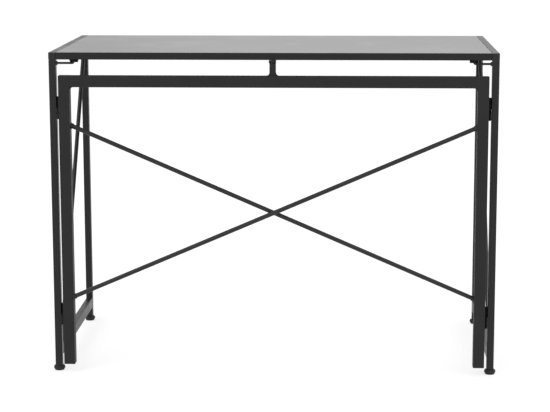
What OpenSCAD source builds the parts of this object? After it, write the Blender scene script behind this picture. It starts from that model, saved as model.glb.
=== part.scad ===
/* [Desk] */
// Width over the outer faces of the two side frames
desk_w = 1000; // [900:10:1400]
// Depth from the hinged back edge to the sitting side, short enough for the frames to fold side by side
desk_d = 475; // [380:5:480]
// Height of the top face above the floor
desk_h = 730; // [680:5:780]

/* [Top] */
// Thickness of the panel and height of the rails at its ends
panel_t = 16; // [14:0.5:20]
// Gap between the panel and each end rail
rail_gap = 0.4; // [0.2:0.1:1]
// Screws that hold each end rail to the panel
rail_screws_per_side = 4; // [2:1:6]
// Wall thickness of the plastic caps in the rail ends
cap_t = 1.5; // [1:0.5:3]

/* [Side frames] */
// Outer size of the square tube of the legs and end rails
leg_s = 16; // [15:0.5:20]
// Wall of the slim square tube
leg_wall = 1.2; // [1:0.1:2]
// Height of the lower rail's section
low_rail_h = 25; // [20:1:30]
// Height of the lower rail's underside above the floor
low_rail_z = 34; // [30:1:80]
// Diameter of the diagonal brace rod
brace_d = 10; // [8:0.5:12]
// Distance of the brace's lower end from the inner face of the back leg
brace_foot = 28; // [20:1:60]
// Drop of the brace's upper end below the top of the leg
brace_drop = 9; // [8:1:40]
// Clearance between the leg tops and the underside of the top
top_clear = 0.3; // [0.2:0.1:1]

/* [Back frame] */
// Outer size of the square tube of the back frame
frame_s = 25; // [20:1:30]
// Wall of the back frame's tube
frame_wall = 1.5; // [1.2:0.1:2.5]
// Drop from the desk's top face to the crossbar's upper face
crossbar_drop = 51; // [40:1:100]
// Height of the lower ends of the uprights above the floor
upright_z = 19.5; // [15:0.5:60]
// Diameter of the crossed brace rods
cross_d = 10; // [8:0.5:12]
// Drop from the crossbar's upper face to the upper ends of the crossed rods
cross_top_drop = 113; // [105:1:200]
// Height at which the crossed rods meet the uprights, lower ends
cross_low_z = 176; // [165:1:300]
// Outer size of the short post between the crossbar and the top
post_s = 14; // [12:0.5:16]
// Height and reach of the fillets under the crossbar's ends and at the post's foot
fillet_r = 7; // [4:0.5:9]

/* [Side hinges] */
// Gap between a slim leg and the upright next to it
hinge_gap = 7; // [7:0.5:12]
// Distance of the fold axis from the back face of the slim legs
fold_y = 5; // [4.5:0.5:8]
// Length of one hinge knuckle
knuckle_l = 25; // [15:1:35]
// Diameter of the side hinge pins
hinge_pin_d = 4; // [3:0.5:4.5]
// Drop from the crossbar's upper face to the upper hinge's joint line
hinge_high_drop = 73; // [60:1:120]
// Height of the lower hinge's joint line
hinge_low_z = 132; // [100:1:150]
// Gap that the folded frame keeps from the back frame
fold_clear = 1; // [0.5:0.1:3]

/* [Top hinge] */
// Outer diameter of the knuckles under the back edge of the top
top_knuckle_d = 7; // [6:0.5:8]
// Diameter of the pin of the top hinge
top_pin_d = 4; // [3:0.5:4.5]
// Length of the middle knuckle, on the post
base_knuckle_l = 6; // [4:0.5:8]
// Length of each outer knuckle, on the leaf
leaf_knuckle_l = 4.2; // [3:0.1:8]
// Width of the leaf under the panel
leaf_w = 38; // [30:1:60]
// Depth of the leaf under the panel
leaf_d = 34; // [24:1:60]
// Thickness of the leaf, which is let in flush
leaf_t = 2; // [1.5:0.1:3]

/* [Latches] */
// Diameter of the bent latch rod
latch_d = 5; // [4:0.5:6]
// Depth of the rod's axis below the underside of the top
latch_drop = 8; // [8:0.5:16]
// Distance of the upturned end from the inner face of the leg
latch_reach = 40; // [24:1:60]
// Bend radius of the rod, measured to its centre line
latch_bend = 4; // [3.5:0.5:4]
// Outer diameter of the bush welded to the leg
bush_d = 9.4; // [8:0.2:9.6]
// Length of the bush
bush_l = 3.4; // [2:0.2:5]
// Width of the keeper under the top
keeper_w = 18; // [12:1:24]
// Thickness of the keeper's web and lip
keeper_t = 2.3; // [1.5:0.1:2.8]

/* [Feet] */
// Diameter of the foot pads
foot_d = 26; // [22:1:34]
// Height of the foot pads
foot_h = 11.5; // [8:0.5:14]
// Diameter of the threaded studs
stud_d = 6; // [5:0.5:8]
// Length of the studs above the pads
stud_l = 26; // [20:1:40]
// Thickness of the insert flanges under the legs
insert_t = 1.8; // [1:0.1:4]
// Length of the inserts inside the legs
insert_l = 16; // [10:1:20]

/* [Fits] */
// Radial clearance of pins, studs and latch rods in their bores
fit = 0.05; // [0.02:0.01:0.1]
// Gap between faces that slide past each other
slide_gap = 0.3; // [0.2:0.05:0.6]

/* [Hidden] */
// Outer corner radius of the tubes
tube_r = 1.5;
// Height and leg of the weld seams
weld = 2.4;
// Overrun that makes a cut go clean through
eps = 1;
// Heights that the pieces share
under_z = desk_h - panel_t;
leg_top_z = under_z - top_clear;
leg_low_z = foot_h + slide_gap + insert_t;
crossbar_z = desk_h - crossbar_drop;
cross_top_z = crossbar_z - cross_top_drop;
hinge_high_z = crossbar_z - hinge_high_drop;
low_rail_top = low_rail_z + low_rail_h;
// Thickness of the plate on the post, and of the heads of the hinge pins
post_plate_t = 1.5;
pin_head_t = 1.2;
post_top_z = under_z - top_knuckle_d - slide_gap - post_plate_t;
// Places in plan, from the left outer face and the back face of the slim legs
upright_x = leg_s + hinge_gap;
fold_x = leg_s + hinge_gap / 2;
frame_y1 = fold_y + hinge_gap / 2 - fold_clear;
frame_y0 = frame_y1 - frame_s;
inner_x = upright_x + frame_s;
front_y = desk_d - leg_s;
foot_over = (foot_d - leg_s) / 2;
plan_y = (frame_y0 + desk_d + foot_over) / 2;
cross_clear = 0.4;
cross_y = (frame_y0 + frame_y1) / 2;
// Top hinge axis, clear of the back edge by the knuckle's radius
tilt_z = under_z - top_knuckle_d / 2;
tilt_y = -top_knuckle_d / 2 - 0.5;
top_hinge_w = 2 * leaf_knuckle_l + base_knuckle_l + 2 * slide_gap;
// Side hinge barrels fill the gap but for a running clearance
barrel_r = hinge_gap / 2 - slide_gap;
barrel_web = 5.2;
// Latch places
latch_z = under_z - latch_drop;
latch_tip_z = under_z - keeper_t - 1;
latch_x = leg_s + latch_reach;
latch_head_d = latch_d + 2;
latch_head_t = 1.4;
latch_tail = 2.2;
// Keeper: its lip stands clear of the rod, and its plate, ribs and screw lie beyond the lip
lip_clear = 0.5;
lip_drop = latch_drop * 0.8;
lip_y = fold_y + latch_d / 2 + lip_clear;
keeper_y = lip_y + keeper_t;
keeper_plate_l = 9;
keeper_rib_l = 6;
keeper_screw_y = keeper_y + keeper_rib_l;
// Lengths of the plugs inside the leg tops, the end rails and the uprights
leg_spigot_l = 2;
rail_spigot_l = 8;
upright_spigot_l = 12;
// Screws
screw_d = 3;
screw_head_d = 5.6;
screw_head_h = 1.6;
rail_screw_l = leg_s + 22;
keeper_screw_l = 11;
$fn = 48;

// Moves corner coordinates to the middle of the desk's footprint
module in_plan() {
    translate([-desk_w / 2, -plan_y, 0]) children();
}

// Mirrors a left-hand piece to the right-hand side
module right_hand() {
    translate([desk_w, 0, 0]) mirror([1, 0, 0]) children();
}

// Keeps a left-hand piece and adds its mirror image
module both_hands() {
    children();
    right_hand() children();
}

// Outline of a square tube with round corners
module tube_outline(w, d) {
    translate([tube_r, 0]) square([w - 2 * tube_r, d]);
    translate([0, tube_r]) square([w, d - 2 * tube_r]);
    for (x = [tube_r, w - tube_r], y = [tube_r, d - tube_r])
        translate([x, y]) circle(r = tube_r, $fn = 24);
}

// Hollow tube that stands along Z
module tube(w, d, length, wall) {
    difference() {
        linear_extrude(length) tube_outline(w, d);
        translate([wall, wall, -eps]) cube([w - 2 * wall, d - 2 * wall, length + 2 * eps]);
    }
}

// Hollow tube that lies along X
module tube_x(d, h, length, wall) {
    translate([0, 0, h]) rotate([0, 90, 0]) tube(h, d, length, wall);
}

// Hollow tube that lies along Y
module tube_y(w, h, length, wall) {
    translate([0, 0, h]) rotate([-90, 0, 0]) tube(w, h, length, wall);
}

// Round rod between two points, longer at both ends, with a weld bead near each
module rod(p, q, d) {
    v = q - p;
    over = 2 * d;
    bead = d / 2;
    translate(p) rotate([0, acos(v[2] / norm(v)), atan2(v[1], v[0])]) {
        translate([0, 0, -over]) cylinder(d = d, h = norm(v) + 2 * over);
        translate([0, 0, -over]) cylinder(d = d + weld, h = over + bead);
        translate([0, 0, norm(v) - bead]) cylinder(d = d + weld, h = over + bead);
    }
}

// Prism that fills an inside corner along Y, with its right angle at the origin
module weld_seam(s, length) {
    rotate([90, 0, 0]) linear_extrude(length, center = true) polygon([[0, 0], [s, 0], [0, s]]);
}

// Concave fillet that fills an inside corner along Y, with its right angle at the origin
module inside_fillet(r, length) {
    toe = 0.4;
    difference() {
        translate([0, -length / 2, 0]) cube([r, length, r]);
        translate([r + toe, 0, r + toe]) rotate([90, 0, 0])
            cylinder(r = r, h = length + 2 * eps, center = true);
    }
}

// Back frame: uprights, crossbar, post, crossed rods and plugs
module upright() {
    color("#2c2b2a") translate([upright_x, frame_y0, upright_z + cap_t])
        tube(frame_s, frame_s, crossbar_z - upright_z - 2 * cap_t, frame_wall);
}

module crossbar() {
    color("#2c2b2a") in_plan() {
        translate([inner_x, frame_y0, crossbar_z - frame_s])
            tube_x(frame_s, frame_s, desk_w - 2 * inner_x, frame_wall);
        both_hands() translate([inner_x, cross_y, crossbar_z - frame_s])
            mirror([0, 0, 1]) inside_fillet(fillet_r, frame_s - 4 * tube_r);
    }
}

module centre_post() {
    post_h = post_top_z - crossbar_z;
    color("#2c2b2a") in_plan() translate([desk_w / 2 - post_s / 2, tilt_y - post_s / 2, crossbar_z]) {
        tube(post_s, post_s, post_h, leg_wall);
        translate([post_s, post_s / 2, 0]) inside_fillet(fillet_r, post_s - 2 * tube_r);
        translate([0, post_s / 2, 0]) mirror([1, 0, 0]) inside_fillet(fillet_r, post_s - 2 * tube_r);
    }
}

module cross_rod(near) {
    y = near ? cross_y - cross_d / 2 - cross_clear : cross_y + cross_d / 2 + cross_clear;
    z0 = near ? cross_low_z : cross_top_z;
    z1 = near ? cross_top_z : cross_low_z;
    color("#3a3938") in_plan() intersection() {
        rod([inner_x, y, z0], [desk_w - inner_x, y, z1], cross_d);
        translate([inner_x, frame_y0, upright_z])
            cube([desk_w - 2 * inner_x, frame_s, crossbar_z - upright_z]);
    }
}

// Plug with a flange over the tube's end and a spigot inside it
module plug(outer, wall, spigot) {
    linear_extrude(cap_t) tube_outline(outer, outer);
    translate([wall + fit, wall + fit, cap_t])
        cube([outer - 2 * wall - 2 * fit, outer - 2 * wall - 2 * fit, spigot]);
}

module upright_top_plugs() {
    color("#161616") in_plan() both_hands()
        translate([upright_x, frame_y0, crossbar_z]) mirror([0, 0, 1])
            plug(frame_s, frame_wall, upright_spigot_l);
}

module upright_foot_plugs() {
    color("#161616") in_plan() both_hands()
        translate([upright_x, frame_y0, upright_z]) plug(frame_s, frame_wall, upright_spigot_l);
}

// Side hinges: two knuckles on one pin at two heights, welded into the gap
module knuckle(z, toward) {
    r = barrel_r;
    difference() {
        union() {
            translate([fold_x, fold_y, z]) cylinder(r = r, h = knuckle_l);
            translate([toward > 0 ? fold_x : leg_s, fold_y - barrel_web / 2, z])
                cube([hinge_gap / 2, barrel_web, knuckle_l]);
        }
        translate([fold_x, fold_y, z - eps]) cylinder(d = hinge_pin_d + 2 * fit, h = knuckle_l + 2 * eps);
    }
}

module fixed_knuckles() {
    color("#161616") for (z = [hinge_low_z, hinge_high_z]) knuckle(z - knuckle_l, 1);
}

module moving_knuckles() {
    color("#161616") for (z = [hinge_low_z, hinge_high_z]) knuckle(z + slide_gap, -1);
}

module hinge_pins() {
    head_d = 2 * barrel_r - 1;
    length = pin_head_t + 2 * knuckle_l + slide_gap;
    color("#4a4a4a") for (z = [hinge_low_z, hinge_high_z])
        translate([fold_x, fold_y, z - knuckle_l - pin_head_t]) {
            cylinder(d = head_d, h = pin_head_t);
            cylinder(d = hinge_pin_d, h = length);
        }
}

// Top hinge: one knuckle on the post, with a rest under the panel's edge behind it
module top_hinge_base() {
    neck = top_knuckle_d * 0.8;
    color("#161616") in_plan() translate([desk_w / 2, tilt_y, 0]) difference() {
        union() {
            translate([-post_s / 2, -post_s / 2, post_top_z]) cube([post_s, post_s, post_plate_t]);
            translate([-base_knuckle_l / 2, -neck / 2, post_top_z])
                cube([base_knuckle_l, neck, tilt_z - post_top_z]);
            translate([-base_knuckle_l / 2, 0, post_top_z])
                cube([base_knuckle_l, post_s / 2, under_z - slide_gap - post_top_z]);
            translate([-base_knuckle_l / 2, 0, tilt_z]) rotate([0, 90, 0])
                cylinder(d = top_knuckle_d, h = base_knuckle_l);
        }
        translate([-base_knuckle_l / 2 - eps, 0, tilt_z]) rotate([0, 90, 0])
            cylinder(d = top_pin_d + 2 * fit, h = base_knuckle_l + 2 * eps);
    }
}

module top_hinge_pin() {
    start = (desk_w - top_hinge_w) / 2 - pin_head_t;
    color("#4a4a4a") in_plan() translate([start, tilt_y, tilt_z]) rotate([0, 90, 0]) {
        cylinder(d = top_knuckle_d - 1, h = pin_head_t);
        cylinder(d = top_pin_d, h = pin_head_t + top_hinge_w);
    }
}

// Leaf let in under the panel, with a knuckle at each side of the post's
module top_hinge_leaf() {
    tongue_t = leaf_t * 0.6;
    eyes = [(leaf_w - top_hinge_w) / 2, (leaf_w + top_hinge_w) / 2 - leaf_knuckle_l];
    color("#161616") in_plan() translate([desk_w / 2 - leaf_w / 2, 0, 0]) difference() {
        union() {
            translate([0, 0, under_z]) cube([leaf_w, leaf_d, leaf_t]);
            for (x = eyes) translate([x, tilt_y, 0]) {
                translate([0, 0, tilt_z]) rotate([0, 90, 0])
                    cylinder(d = top_knuckle_d, h = leaf_knuckle_l);
                translate([0, 0, under_z - tongue_t]) cube([leaf_knuckle_l, leaf_t - tilt_y, tongue_t]);
            }
        }
        translate([eyes[0] - eps, tilt_y, tilt_z]) rotate([0, 90, 0])
            cylinder(d = top_pin_d + 2 * fit, h = top_hinge_w + 2 * eps);
        for (x = leaf_screw_x(), y = leaf_screw_y()) translate([x, y, under_z]) screw_cut();
    }
}

function leaf_screw_x() = [leaf_w * 0.2, leaf_w * 0.8];
function leaf_screw_y() = [leaf_d * 0.35, leaf_d * 0.75];

// Countersunk screw that points up from its head, and the hole that it needs
module screw(length) {
    cylinder(d1 = screw_head_d, d2 = screw_d, h = screw_head_h);
    cylinder(d = screw_d, h = length);
}

module screw_cut() {
    translate([0, 0, -eps]) cylinder(d = screw_head_d + 2 * fit, h = eps);
    cylinder(d1 = screw_head_d + 2 * fit, d2 = screw_d + 2 * fit, h = screw_head_h);
    cylinder(d = screw_d + 2 * fit, h = leaf_t + keeper_t + eps);
}

module top_hinge_screws() {
    color("#6a6a6a") in_plan() translate([desk_w / 2 - leaf_w / 2, 0, 0])
        for (x = leaf_screw_x(), y = leaf_screw_y()) translate([x, y, under_z]) screw(keeper_screw_l);
}

// Side frame: legs, lower rail, brace rod, caps and inserts
module leg_tube(y) {
    translate([0, y, leg_low_z]) tube(leg_s, leg_s, leg_top_z - cap_t - leg_low_z, leg_wall);
}

module back_leg() {
    color("#333231") difference() {
        leg_tube(0);
        translate([leg_s / 2, fold_y, latch_z]) rotate([0, 90, 0])
            cylinder(d = latch_d + 2 * fit, h = leg_s);
    }
}

module front_leg() {
    color("#333231") leg_tube(front_y);
}

module lower_rail() {
    color("#333231") translate([0, leg_s, low_rail_z]) {
        tube_y(leg_s, low_rail_h, front_y - leg_s, leg_wall);
        for (end = [0, 1]) translate([leg_s / 2, end * (front_y - leg_s), low_rail_h]) mirror([0, end, 0])
            rotate([0, 0, 90]) weld_seam(weld, leg_s - 2 * tube_r);
    }
}

module brace_rod() {
    x = leg_s / 2;
    color("#3a3938") intersection() {
        rod([x, leg_s + brace_foot, low_rail_top], [x, front_y, leg_top_z - brace_drop], brace_d);
        translate([0, leg_s + weld, low_rail_top])
            cube([leg_s, front_y - leg_s - weld, leg_top_z - low_rail_top]);
    }
}

module leg_caps() {
    color("#161616") for (y = [0, front_y]) translate([0, y, leg_top_z])
        mirror([0, 0, 1]) plug(leg_s, leg_wall, leg_spigot_l);
}

module leg_inserts() {
    core = leg_s - 2 * leg_wall - 2 * fit;
    color("#161616") for (y = [0, front_y]) translate([0, y, leg_low_z - insert_t]) difference() {
        union() {
            linear_extrude(insert_t) tube_outline(leg_s, leg_s);
            translate([leg_wall + fit, leg_wall + fit, insert_t]) cube([core, core, insert_l]);
        }
        translate([leg_s / 2, leg_s / 2, -eps])
            cylinder(d = stud_d + 2 * fit, h = insert_t + insert_l + 2 * eps);
    }
}

// Levelling foot: pad with a round shoulder, and the stud that screws into the insert
module at_foot(y) {
    translate([leg_s / 2, y + leg_s / 2, 0]) children();
}

module foot_pad() {
    low_r = foot_d / 2 - 2.5;
    round_r = foot_h * 0.45;
    seat_d = stud_d - 1;
    color("#1c1c1c") difference() {
        rotate_extrude() union() {
            translate([0, foot_h - 2 * round_r]) square([foot_d / 2 - round_r, 2 * round_r]);
            polygon([[0, 0], [low_r, 0], [foot_d / 2, foot_h - round_r], [0, foot_h - round_r]]);
            intersection() {
                translate([foot_d / 2 - round_r, foot_h - round_r]) circle(r = round_r, $fn = 40);
                square([foot_d, foot_h]);
            }
        }
        translate([0, 0, foot_h / 2]) cylinder(d = seat_d, h = foot_h);
    }
}

module foot_stud() {
    seat_d = stud_d - 1;
    color("#8d8f91") {
        translate([0, 0, foot_h / 2]) cylinder(d = seat_d, h = foot_h / 2);
        translate([0, 0, foot_h]) cylinder(d = stud_d, h = stud_l);
    }
}

// Turn latch: a bent rod that turns in a bush on the leg, and its keeper under the top
module latch_bush() {
    color("#161616") translate([leg_s, fold_y, latch_z]) rotate([0, 90, 0]) difference() {
        cylinder(d = bush_d, h = bush_l);
        translate([0, 0, -eps]) cylinder(d = latch_d + 2 * fit, h = bush_l + 2 * eps);
    }
}

module latch_rod() {
    start = leg_s - leg_wall - latch_head_t - latch_tail;
    run = latch_x - latch_bend - start;
    rise = latch_tip_z - latch_z - latch_bend;
    color("#1f1f1f") translate([start, fold_y, latch_z]) {
        rotate([0, 90, 0]) cylinder(d = latch_d, h = run);
        translate([latch_tail, 0, 0]) rotate([0, 90, 0])
            cylinder(d = latch_head_d, h = latch_head_t - slide_gap / 2);
        translate([run, 0, latch_bend]) rotate([90, 0, 0]) rotate([0, 0, -90])
            rotate_extrude(angle = 90) translate([latch_bend, 0]) circle(d = latch_d, $fn = 32);
        translate([run + latch_bend, 0, latch_bend]) cylinder(d = latch_d, h = rise);
    }
}

module keeper() {
    color("#121212") translate([latch_x - keeper_w / 2, 0, 0]) difference() {
        union() {
            translate([0, lip_clear, under_z - keeper_t])
                cube([keeper_w, keeper_y + keeper_plate_l, keeper_t]);
            translate([0, lip_y, under_z - lip_drop]) cube([keeper_w, keeper_t, lip_drop]);
            for (x = [0, keeper_w - keeper_t])
                translate([x, keeper_y, under_z - keeper_t]) rotate([90, 0, 90])
                    linear_extrude(keeper_t) polygon([[0, 0], [keeper_rib_l, 0], [0, keeper_t - lip_drop]]);
        }
        for (x = keeper_screw_x()) translate([x, keeper_screw_y, under_z - keeper_t]) screw_cut();
    }
}

function keeper_screw_x() = [keeper_w * 0.5];

module keeper_screws() {
    color("#6a6a6a") in_plan() both_hands() translate([latch_x - keeper_w / 2, 0, 0])
        for (x = keeper_screw_x())
            translate([x, keeper_screw_y, under_z - keeper_t]) screw(keeper_screw_l);
}

// Top: panel, end rails, their caps and screws
module top_panel() {
    x0 = leg_s + rail_gap;
    pilot = 2 * fit;
    color("#55565a") in_plan() difference() {
        translate([x0, 0, under_z]) cube([desk_w - 2 * x0, desk_d, panel_t]);
        translate([desk_w / 2 - leaf_w / 2 - fit, -eps, under_z - eps])
            cube([leaf_w + 2 * fit, leaf_d + fit + eps, leaf_t + eps]);
        translate([desk_w / 2 - leaf_w / 2, 0, 0]) for (x = leaf_screw_x(), y = leaf_screw_y())
            translate([x, y, under_z]) cylinder(d = screw_d + pilot, h = keeper_screw_l + pilot);
        both_hands() translate([latch_x - keeper_w / 2, 0, 0]) for (x = keeper_screw_x())
            translate([x, keeper_screw_y, under_z - keeper_t])
                cylinder(d = screw_d + pilot, h = keeper_screw_l + pilot);
        both_hands() rail_screw_places() cylinder(d = screw_d + pilot, h = rail_screw_l + pilot);
    }
}

module rail_screw_places() {
    pitch = desk_d / rail_screws_per_side;
    for (i = [0 : rail_screws_per_side - 1])
        translate([0, (i + 0.5) * pitch, under_z + panel_t / 2]) rotate([0, 90, 0]) children();
}

module end_rail() {
    color("#3b3a39") difference() {
        translate([0, cap_t, under_z]) tube_y(leg_s, panel_t, desk_d - 2 * cap_t, leg_wall);
        rail_screw_places() {
            translate([0, 0, leg_s / 2]) cylinder(d = screw_d + 2 * fit, h = leg_s);
            translate([0, 0, -eps]) cylinder(d = screw_head_d + 2 * fit, h = leg_wall + eps + 0.4);
        }
    }
}

module rail_caps() {
    color("#161616") in_plan() both_hands() for (end = [0, 1])
        translate([0, end * desk_d, under_z]) mirror([0, end, 0]) {
            translate([0, 0, panel_t]) rotate([-90, 0, 0])
                linear_extrude(cap_t) tube_outline(leg_s, panel_t);
            translate([leg_wall + fit, cap_t, leg_wall + fit])
                cube([leg_s - 2 * leg_wall - 2 * fit, rail_spigot_l, panel_t - 2 * leg_wall - 2 * fit]);
        }
}

module rail_screws() {
    color("#6a6a6a") in_plan() both_hands() rail_screw_places() {
        cylinder(d = screw_head_d, h = leg_wall);
        cylinder(d = screw_d, h = rail_screw_l);
    }
}

in_plan() upright();  // left_upright
in_plan() right_hand() upright();  // right_upright
crossbar();
centre_post();
cross_rod(true);  // cross_rod_near
cross_rod(false);  // cross_rod_far
upright_top_plugs();
upright_foot_plugs();
in_plan() fixed_knuckles();  // left_fixed_knuckles
in_plan() right_hand() fixed_knuckles();  // right_fixed_knuckles
in_plan() hinge_pins();  // left_hinge_pins
in_plan() right_hand() hinge_pins();  // right_hinge_pins
top_hinge_base();
top_hinge_pin();
in_plan() back_leg();  // left_back_leg
in_plan() front_leg();  // left_front_leg
in_plan() lower_rail();  // left_lower_rail
in_plan() brace_rod();  // left_brace_rod
in_plan() moving_knuckles();  // left_moving_knuckles
in_plan() leg_caps();  // left_leg_caps
in_plan() leg_inserts();  // left_leg_inserts
in_plan() latch_bush();  // left_latch_bush
in_plan() right_hand() back_leg();  // right_back_leg
in_plan() right_hand() front_leg();  // right_front_leg
in_plan() right_hand() lower_rail();  // right_lower_rail
in_plan() right_hand() brace_rod();  // right_brace_rod
in_plan() right_hand() moving_knuckles();  // right_moving_knuckles
in_plan() right_hand() leg_caps();  // right_leg_caps
in_plan() right_hand() leg_inserts();  // right_leg_inserts
in_plan() right_hand() latch_bush();  // right_latch_bush
in_plan() latch_rod();  // left_latch_rod
in_plan() right_hand() latch_rod();  // right_latch_rod
in_plan() at_foot(0) foot_pad();  // left_back_foot_pad
in_plan() at_foot(0) foot_stud();  // left_back_foot_stud
in_plan() at_foot(front_y) foot_pad();  // left_front_foot_pad
in_plan() at_foot(front_y) foot_stud();  // left_front_foot_stud
in_plan() right_hand() at_foot(0) foot_pad();  // right_back_foot_pad
in_plan() right_hand() at_foot(0) foot_stud();  // right_back_foot_stud
in_plan() right_hand() at_foot(front_y) foot_pad();  // right_front_foot_pad
in_plan() right_hand() at_foot(front_y) foot_stud();  // right_front_foot_stud
top_panel();
in_plan() end_rail();  // left_end_rail
in_plan() right_hand() end_rail();  // right_end_rail
rail_caps();
rail_screws();
top_hinge_leaf();
top_hinge_screws();
in_plan() keeper();  // left_keeper
in_plan() right_hand() keeper();  // right_keeper
keeper_screws();
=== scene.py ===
"""Folding desk: finishes, welds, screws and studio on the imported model's frame."""
import logging
import math
from dataclasses import dataclass
from enum import Enum
from typing import Iterable, Sequence

import bmesh
import bpy
from mathutils import Matrix, Vector


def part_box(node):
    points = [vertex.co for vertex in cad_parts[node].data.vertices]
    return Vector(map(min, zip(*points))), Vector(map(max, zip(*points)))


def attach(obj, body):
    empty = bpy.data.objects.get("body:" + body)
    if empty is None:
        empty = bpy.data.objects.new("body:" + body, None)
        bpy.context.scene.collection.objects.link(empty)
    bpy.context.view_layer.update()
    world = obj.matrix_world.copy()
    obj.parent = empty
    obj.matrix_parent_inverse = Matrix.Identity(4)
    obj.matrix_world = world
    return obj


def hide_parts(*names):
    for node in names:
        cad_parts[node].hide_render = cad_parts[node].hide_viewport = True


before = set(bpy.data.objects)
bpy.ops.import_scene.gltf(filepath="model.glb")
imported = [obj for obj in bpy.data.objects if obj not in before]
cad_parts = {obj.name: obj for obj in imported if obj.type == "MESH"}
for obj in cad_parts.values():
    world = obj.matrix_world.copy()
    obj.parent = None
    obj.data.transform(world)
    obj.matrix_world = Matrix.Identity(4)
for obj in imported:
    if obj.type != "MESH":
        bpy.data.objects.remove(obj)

log = logging.getLogger("folding_desk")
MM = 0.001
KNUCKLE_LENGTH = 25 * MM
RAIL_HEIGHT = 25 * MM

Colour = tuple[float, float, float]
Point = tuple[float, float, float]
Path = list[Point]
Spots = list[tuple[Point, Point]]
Feeds = dict[str | int, object]
Material = bpy.types.Material
Mesh = bpy.types.Mesh
Node = bpy.types.Node
Object = bpy.types.Object
Socket = bpy.types.NodeSocket
Sockets = bpy.types.bpy_prop_collection
Tree = bpy.types.NodeTree
Vert = bmesh.types.BMVert


class Side(Enum):
    """The two hands of the desk, seen from the braced back."""

    LEFT = "left"
    RIGHT = "right"

    def turn(self, path: Path) -> Path:
        """The path as drawn for the left hand, mirrored for the right."""
        return path if self is Side.LEFT else [(-x, y, z) for x, y, z in path]


class End(Enum):
    """The two legs of a side frame: beside the back frame, or at the sitting side."""

    BACK = "back"
    FRONT = "front"


class Body(str, Enum):
    """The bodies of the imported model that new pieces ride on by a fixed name."""

    BACK_FRAME = "back_frame"
    DESK_TOP = "desk_top"


class Slot(str, Enum):
    """The names of the record's material slots."""

    FRAME = "frame_paint"
    ROD = "rod_paint"
    PANEL = "panel_laminate"
    HINGE = "hinge_steel"
    PIN = "pin_steel"
    SCREW = "screw_steel"


class Head(Enum):
    """How a screw's head meets what it holds."""

    COUNTERSUNK = "countersunk"
    FLAT = "flat"


# Node trees


def rgba(colour: Colour, factor: float = 1.0) -> tuple[float, ...]:
    """The colour times a factor, with alpha 1."""
    return (*(factor * part for part in colour), 1.0)


def spaced(values: dict[str, object]) -> Feeds:
    """The values under their sockets' names, with a space for each _."""
    return {label.replace("_", " "): value for label, value in values.items()}


class Sketch:
    """A node tree, with short ways to add nodes and to join them."""

    def __init__(self, tree: Tree) -> None:
        """Takes the tree."""
        self.tree = tree

    def add(self, kind: str, feeds: Feeds | None = None, **settings: object) -> Node:
        """Adds a node.

        Args:
            kind: the node's type name.
            feeds: what goes into its inputs, by their name or number.
            settings: properties of the node, which are set before its inputs.

        Returns:
            The new node.
        """
        node = self.tree.nodes.new(kind)
        for name, value in settings.items():
            setattr(node, name, value)
        for key, value in (feeds or {}).items():
            self.feed(node.inputs[key], value)
        return node

    def feed(self, socket: Socket, value: object) -> None:
        """Sets a socket.

        Args:
            socket: the input socket.
            value: another node's output socket, or a plain value.
        """
        if isinstance(value, Socket):
            self.tree.links.new(value, socket)
        else:
            socket.default_value = value

    def math(self, operation: str, *values: object, clamp: bool = False) -> Socket:
        """A Math node's result, kept between 0 and 1 where clamp is set."""
        feeds = dict(enumerate(values))
        return self.add("ShaderNodeMath", feeds, operation=operation, use_clamp=clamp).outputs[0]

    def plus(self, first: object, second: object, clamp: bool = False) -> Socket:
        """The sum of two values."""
        return self.math("ADD", first, second, clamp=clamp)

    def minus(self, first: object, second: object) -> Socket:
        """The first value less the second."""
        return self.math("SUBTRACT", first, second)

    def times(self, first: object, second: object, clamp: bool = False) -> Socket:
        """The product of two values."""
        return self.math("MULTIPLY", first, second, clamp=clamp)

    def join(self, first: object, second: object) -> Socket:
        """The larger of two values."""
        return self.math("MAXIMUM", first, second)

    def ramp(self, value: object, low: float, high: float, start: float = 0.0, end: float = 1.0) -> Socket:
        """A smooth step from start to end as value goes from low to high."""
        feeds = dict(enumerate((value, low, high, start, end)))
        return self.add("ShaderNodeMapRange", feeds, interpolation_type="SMOOTHSTEP").outputs[0]

    def mix(self, share: object, first: object, second: object) -> Socket:
        """Two colours with alpha, mixed by the share of the second."""
        return self.add("ShaderNodeMix", {0: share, 6: first, 7: second}, data_type="RGBA").outputs[2]

    def noise(self, place: Socket, scale: object, detail: float = 2.0, roughness: float = 0.5) -> Socket:
        """A noise texture's value. Its scale is in turns per metre."""
        feeds = {"Vector": place, "Scale": scale, "Detail": detail, "Roughness": roughness}
        return self.add("ShaderNodeTexNoise", feeds).outputs[0]


def emptied(owner: Material | bpy.types.World) -> Tree:
    """The node tree of a material or a world, with nothing in it.

    Args:
        owner: the material or the world.

    Returns:
        The tree.
    """
    owner.use_nodes = True
    owner.node_tree.nodes.clear()
    return owner.node_tree


def shader_group(name: str, given: Sequence[str], made: Sequence[str]) -> tuple[Sketch, Sockets, Sockets]:
    """An empty shader node group that is given coordinates and numbers, and makes numbers.

    Args:
        name: the group's name.
        given: the names of the numbers that it is given.
        made: the names of the numbers that it makes.

    Returns:
        The group's sketch, the sockets that bring what it is given, and those for what it makes.
    """
    tree = bpy.data.node_groups.new(name, "ShaderNodeTree")
    tree.interface.new_socket("Vector", in_out="INPUT", socket_type="NodeSocketVector")
    for labels, way in ((given, "INPUT"), (made, "OUTPUT")):
        for label in labels:
            tree.interface.new_socket(label, in_out=way, socket_type="NodeSocketFloat")
    sketch = Sketch(tree)
    return sketch, sketch.add("NodeGroupInput").outputs, sketch.add("NodeGroupOutput").inputs


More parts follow.
